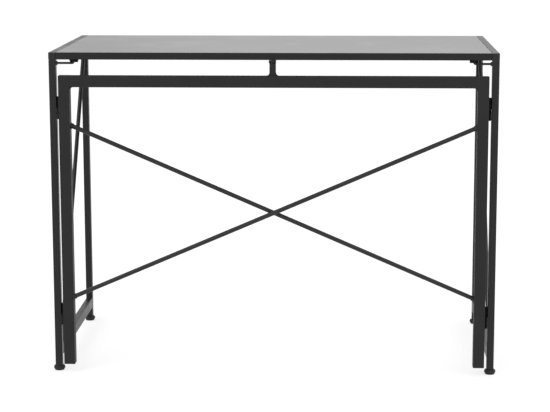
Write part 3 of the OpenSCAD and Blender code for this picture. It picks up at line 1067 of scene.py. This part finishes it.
@dataclass
class SideFrame:
    """One folding side frame with its joints."""

    tools: Tools
    side: Side
    rail_seam: Seam = Seam("rail_seams", 1.6 * MM, 13, Look.WELD, Slot.FRAME)
    rail_inset: float = 2.2 * MM
    rail_out: float = 0.4 * MM
    rail_lift: tuple[float, float] = (-0.1 * MM, 0.4 * MM)
    rod_seam: Seam = Seam("brace_rod_seams", 1.2 * MM, 17, Look.WELD, Slot.ROD)
    rod_collar: float = 6.2 * MM
    rod_foot_in: float = 1.19
    rod_head_drop: float = 7.5 * MM
    rod_out: float = 0.2 * MM
    rod_lower_half: tuple[float, float] = (196.0, 148.0)
    knuckle_seam: Seam = Seam("moving_knuckle_seams", 0.6 * MM, 19, Look.HINGE, Slot.HINGE)

    def names(self, *parts: str) -> list[str]:
        """The names of nodes or pieces on this hand."""
        return [f"{self.side.value}_{part}" for part in parts]

    def build(self) -> None:
        """Dresses the side frame and lays its welds."""
        dress = self.tools.dress
        dress(Look.FRAME, *self.names("back_leg", "front_leg", "lower_rail"))
        dress(Look.ROD, *self.names("brace_rod"))
        # The moving knuckles' near-black coat is black paint plus painted shade.
        dress(Look.HINGE, *self.names("moving_knuckles"))
        dress(Look.PLASTIC, *self.names("leg_caps", "leg_inserts", "latch_bush"))
        lines = (
            (self.rail_seam, self._rail_lines()),
            (self.rod_seam, self._rod_rings()),
            (self.knuckle_seam, knuckle_lines("left_moving_knuckles", 0)),
        )
        for seam, paths in lines:
            name, body = self.names(seam.name, "side_frame")
            self.tools.weld(name, seam, [self.side.turn(path) for path in paths], body)

    def _rail_lines(self) -> list[Path]:
        """Lines above and below the lower rail, at both legs.

        Returns:
            The lines, for the left hand.
        """
        rail_low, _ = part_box("left_lower_rail")
        leg_low, leg_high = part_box("left_back_leg")
        front_low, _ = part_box("left_front_leg")
        low, high = leg_low[0] + self.rail_inset, leg_high[0] - self.rail_inset
        heights = [rail_low[2] + self.rail_lift[0], rail_low[2] + RAIL_HEIGHT + self.rail_lift[1]]
        faces = (leg_high[1] + self.rail_out, front_low[1] - self.rail_out)
        return [[(low, y, z), (high, y, z)] for y in faces for z in heights]

    def _rod_rings(self) -> list[Path]:
        """Rings where the brace rod meets the lower rail and the front leg.

        Returns:
            The lines, for the left hand. At the leg, only the open lower half has one.
        """
        low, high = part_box("left_brace_rod")
        front_low, front_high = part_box("left_front_leg")
        reach = self.rod_collar
        x = (low[0] + high[0]) / 2
        rail_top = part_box("left_lower_rail")[0][2] + RAIL_HEIGHT
        foot = Vector((x, low[1] + reach * self.rod_foot_in, rail_top))
        head = Vector((x, front_low[1], front_high[2] - self.rod_head_drop))
        along = (head - foot).normalized()
        foot.z += self.rod_out
        head.y -= self.rod_out
        whole = ring(foot, (reach, 0.0, 0.0), (0.0, reach / along.z, 0.0))
        return [whole, ring(head, (reach, 0.0, 0.0), (0.0, 0.0, reach / along.y), *self.rod_lower_half)]


@dataclass
class TurnLatch:
    """One turn latch: the bent rod that holds a side frame square under the top."""

    tools: Tools
    side: Side

    def build(self) -> None:
        """Dresses the rod."""
        self.tools.dress(Look.LATCH, f"{self.side.value}_latch_rod")
        log.info("%s_latch_rod: dressed", self.side.value)


@dataclass
class LevellingFoot:
    """One levelling foot: a moulded pad on a threaded stud."""

    tools: Tools
    side: Side
    end: End
    pitch: float = 1.0 * MM
    thread_depth: float = 0.55 * MM
    clearance: float = 0.02 * MM

    def build(self) -> None:
        """Dresses the pad and winds the stud's thread."""
        body = f"{self.side.value}_{self.end.value}_foot"
        self.tools.dress(Look.PAD, f"{body}_pad")
        node = f"{body}_stud"
        low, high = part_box(node)
        radius = (high[0] - low[0]) / 2
        length = high[2] - low[2]
        point = bpy.data.meshes.new(node)
        point.from_pydata([(0.0, 0.0, 0.0)], [], [])
        values = {
            "Radius": radius - self.clearance,
            "Core": radius - self.thread_depth,
            "Turns": (length - 2 * self.tools.stud.RUNOUT) / self.pitch,
            "Length": length,
            "Base": ((low[0] + high[0]) / 2, (low[1] + high[1]) / 2, low[2]),
            "Material": self.tools.coats[Look.SCREW],
        }
        settle(self.tools.stud.run(f"{body}_threaded_stud", point, values), body, Slot.PIN, node)


@dataclass
class DeskTop:
    """The tilting top: board, end rails, hinge leaf, keepers and screws."""

    tools: Tools
    edge_radius: float = 0.5 * MM
    end_inset: float = 0.3 * MM
    shortest_arris: float = 50 * MM
    slack: float = 0.01 * MM
    merging: float = 0.001 * MM
    same_plane: float = math.radians(1)
    level: float = 0.9
    rounded: tuple[float, float] = (0.05, 0.95)
    rail_screws_per_side: int = 4
    keeper_screw_in: float = 16.3 * MM
    leaf_screw_x: float = 11.4 * MM
    leaf_screw_y: tuple[float, float] = (11.9 * MM, 25.5 * MM)
    rail_screw: CrossScrew = CrossScrew("rail_screw", 5.6 * MM, 1.2 * MM, 3 * MM, 38 * MM, Head.FLAT)
    short_screw: CrossScrew = CrossScrew(
        "short_screw", 5.6 * MM, 1.6 * MM, 3 * MM, 11 * MM, Head.COUNTERSUNK
    )

    def build(self) -> None:
        """Dresses the rails and fittings, and makes the board and its screws."""
        self.tools.dress(Look.FRAME, "left_end_rail", "right_end_rail", "top_hinge_leaf")
        self.tools.dress(Look.PLASTIC, "rail_caps")
        # The keepers take the hinge coat, black paint plus painted shade.
        self.tools.dress(Look.HINGE, "left_keeper", "right_keeper")
        self._board()
        self._drive("rail_fixing_screws", "rail_screws", self.rail_screw, self._rail_spots(), 23)
        self._drive("leaf_fixing_screws", "top_hinge_screws", self.short_screw, self._leaf_spots(), 29)
        self._drive("keeper_fixing_screws", "keeper_screws", self.short_screw, self._keeper_spots(), 31)

    def _drive(self, name: str, node: str, screw: CrossScrew, spots: Spots, seed: int) -> None:
        """Drives a set of screws in place of their CAD node."""
        piece = self.tools.screws.drive(name, screw, spots, seed, self.tools.coats[Look.SCREW])
        settle(piece, Body.DESK_TOP.value, Slot.SCREW, node)

    def _board(self) -> None:
        """The board: laminate above and below, banded edges with a soft arris."""
        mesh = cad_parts["top_panel"].data.copy()
        mesh.name = "laminated_board"
        work = bmesh.new()
        work.from_mesh(mesh)
        bmesh.ops.remove_doubles(work, verts=work.verts, dist=self.merging)
        bmesh.ops.dissolve_limit(work, angle_limit=self.same_plane, verts=work.verts, edges=work.edges)
        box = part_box("top_panel")
        outer = [edge for edge in work.edges if self._is_arris(edge, box)]
        for vert in work.verts:
            for limit, inward in ((box[0][0], self.end_inset), (box[1][0], -self.end_inset)):
                if abs(vert.co.x - limit) < self.slack:
                    vert.co.x += inward
        bevel = {"offset": self.edge_radius, "segments": 3, "profile": 0.5, "affect": "EDGES"}
        bmesh.ops.bevel(work, geom=outer, clamp_overlap=True, **bevel)
        work.normal_update()
        for face in work.faces:
            up = face.normal.z
            face.material_index = 0 if up > self.level else 1 if up < -self.level else 2
            face.smooth = self.rounded[0] < abs(up) < self.rounded[1]
        mesh.materials.clear()
        for look in (Look.BOARD, Look.UNDERSIDE, Look.BAND):
            mesh.materials.append(self.tools.coats[look])
        work.to_mesh(mesh)
        work.free()
        settle(as_object("laminated_board", mesh), Body.DESK_TOP.value, Slot.PANEL, "top_panel")

    def _is_arris(self, edge: bmesh.types.BMEdge, box: tuple[Point, Point]) -> bool:
        """Whether an edge is one of the board's long outer edges.

        Args:
            edge: an edge of the board.
            box: the board's box.

        Returns:
            True where it lies in two faces of the box and isn't short.
        """
        a, b = (vert.co for vert in edge.verts)
        walls = 0
        for axis in range(3):
            for corner in box:
                walls += all(abs(end[axis] - corner[axis]) < self.slack for end in (a, b))
        return walls == 2 and (a - b).length >= self.shortest_arris

    def _rail_spots(self) -> Spots:
        """Where screws go through the end rails into the board.

        Returns:
            Each head's middle and the direction into the wood.
        """
        low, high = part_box("rail_screws")
        panel_low, panel_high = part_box("top_panel")
        pitch = (panel_high[1] - panel_low[1]) / self.rail_screws_per_side
        z = (panel_low[2] + panel_high[2]) / 2
        spots = []
        for i in range(self.rail_screws_per_side):
            y = panel_low[1] + (i + 0.5) * pitch
            spots += [((low[0], y, z), (1.0, 0.0, 0.0)), ((high[0], y, z), (-1.0, 0.0, 0.0))]
        return spots

    def _leaf_spots(self) -> Spots:
        """Where four screws go up through the top hinge's leaf.

        Returns:
            Each head's middle and the direction into the wood.
        """
        low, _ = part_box("top_panel")
        ends = (-self.leaf_screw_x, self.leaf_screw_x)
        places = [(x, low[1] + y, low[2]) for x in ends for y in self.leaf_screw_y]
        return [(place, (0.0, 0.0, 1.0)) for place in places]

    def _keeper_spots(self) -> Spots:
        """Where one screw goes up through each latch keeper.

        Returns:
            Each head's middle and the direction into the wood.
        """
        low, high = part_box("left_keeper")
        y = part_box("top_panel")[0][1] + self.keeper_screw_in
        left = [((low[0] + high[0]) / 2, y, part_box("keeper_screws")[0][2])]
        return [(side.turn(left)[0], (0.0, 0.0, 1.0)) for side in Side]


# Studio


@dataclass(frozen=True)
class Lamp:
    """One soft square area lamp, with its place and size in metres and its power in watts."""

    name: str
    place: Point
    size: float
    power: float


@dataclass
class Studio:
    """Pale floor, white surroundings, soft lamps and the camera, whose turns are in degrees."""

    floor_half: float = 60.0
    floor_colour: Colour = (0.8, 0.8, 0.8)
    seen_floor_colour: Colour = (0.46, 0.46, 0.46)
    seen_floor_glow: float = 0.66
    sky_light: float = 0.76
    camera_place: Point = (0.166, -3.9175, 1.066)
    camera_azimuth: float = 2.508077
    camera_elevation: float = 9.500717
    camera_roll: float = -0.10172
    lens: float = 109.416
    sensor: float = 36.0
    shift_y: float = -0.05
    clip_end: float = 200.0
    aim: Point = (0.0, 0.0, 0.35)
    lamps: tuple[Lamp, ...] = (
        Lamp("key_lamp", (-2.6, -2.4, 3.6), 2.4, 34.0),
        Lamp("fill_lamp", (3.0, -1.6, 3.0), 2.8, 26.0),
        Lamp("back_lamp", (0.4, 3.4, 3.4), 2.8, 30.0),
    )

    def build(self) -> None:
        """Sets up the whole studio."""
        self._floor()
        self._world()
        for lamp in self.lamps:
            self._lamp(lamp)
        self._camera()
        bpy.context.scene.view_settings.view_transform = "Standard"
        log.info("studio: floor, world, %d lamps and camera", len(self.lamps))

    def _seen(self, sketch: Sketch) -> Socket:
        """1 for rays from the camera, and for those that metal or glass sends on.

        Args:
            sketch: the tree that needs it.

        Returns:
            The output socket.
        """
        path = sketch.add("ShaderNodeLightPath").outputs
        sent_on = sketch.join(path["Is Glossy Ray"], path["Is Transmission Ray"])
        return sketch.join(path["Is Camera Ray"], sent_on)

    def _floor(self) -> None:
        """A plain floor that shows white and still takes the desk's shadow."""
        half = self.floor_half
        mesh = bpy.data.meshes.new("studio_floor")
        corners = [(-half, -half, 0), (half, -half, 0), (half, half, 0), (-half, half, 0)]
        mesh.from_pydata(corners, [], [(0, 1, 2, 3)])
        floor = as_object("studio_floor", mesh)
        material = bpy.data.materials.new("studio_floor")
        sketch = Sketch(emptied(material))
        plain = sketch.add("ShaderNodeBsdfDiffuse", {"Color": rgba(self.floor_colour)})
        dim = sketch.add("ShaderNodeBsdfDiffuse", {"Color": rgba(self.seen_floor_colour)})
        glow = sketch.add("ShaderNodeEmission", {"Strength": self.seen_floor_glow})
        white = sketch.add("ShaderNodeAddShader", {0: dim.outputs[0], 1: glow.outputs[0]})
        choice = {0: self._seen(sketch), 1: plain.outputs[0], 2: white.outputs[0]}
        choose = sketch.add("ShaderNodeMixShader", choice)
        sketch.add("ShaderNodeOutputMaterial", {"Surface": choose.outputs[0]})
        mesh.materials.append(material)

    def _world(self) -> None:
        """White where it is seen, softer as a light."""
        world = bpy.data.worlds.new("studio_world")
        bpy.context.scene.world = world
        sketch = Sketch(emptied(world))
        choice = {0: self._seen(sketch), 2: self.sky_light, 3: 1.0}
        strength = sketch.add("ShaderNodeMix", choice, data_type="FLOAT").outputs[0]
        white = {"Color": rgba((1.0, 1.0, 1.0)), "Strength": strength}
        light = sketch.add("ShaderNodeBackground", white)
        sketch.add("ShaderNodeOutputWorld", {"Surface": light.outputs[0]})

    def _lamp(self, lamp: Lamp) -> None:
        """Hangs one lamp, aimed at the middle of the desk.

        Args:
            lamp: the lamp.
        """
        data = bpy.data.lights.new(lamp.name, "AREA")
        data.shape = "SQUARE"
        data.size = lamp.size
        data.energy = lamp.power
        place = Vector(lamp.place)
        turn = (Vector(self.aim) - place).to_track_quat("-Z", "Y")
        as_object(lamp.name, data).matrix_world = Matrix.Translation(place) @ turn.to_matrix().to_4x4()

    def _camera(self) -> None:
        """The photograph's view of the desk."""
        data = bpy.data.cameras.new("camera")
        data.sensor_width = self.sensor
        data.lens = self.lens
        data.shift_y = self.shift_y
        data.clip_end = self.clip_end
        camera = as_object("camera", data)
        matrix = Matrix.Translation(self.camera_place)
        turns = ((self.camera_azimuth, "Z"), (90.0 - self.camera_elevation, "X"), (self.camera_roll, "Z"))
        for angle, axis in turns:
            matrix = matrix @ Matrix.Rotation(math.radians(angle), 4, axis)
        camera.matrix_world = matrix
        bpy.context.scene.camera = camera


def main() -> None:
    """Builds the sub-assemblies in order and reports each."""
    logging.basicConfig(level=logging.INFO, format="%(name)s %(message)s")
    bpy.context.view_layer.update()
    tools = Tools()
    BackFrame(tools).build()
    for side in Side:
        SideFrame(tools, side).build()
        TurnLatch(tools, side).build()
        for end in End:
            LevellingFoot(tools, side, end).build()
    DeskTop(tools).build()
    Studio().build()


if __name__ == "__main__":
    main()
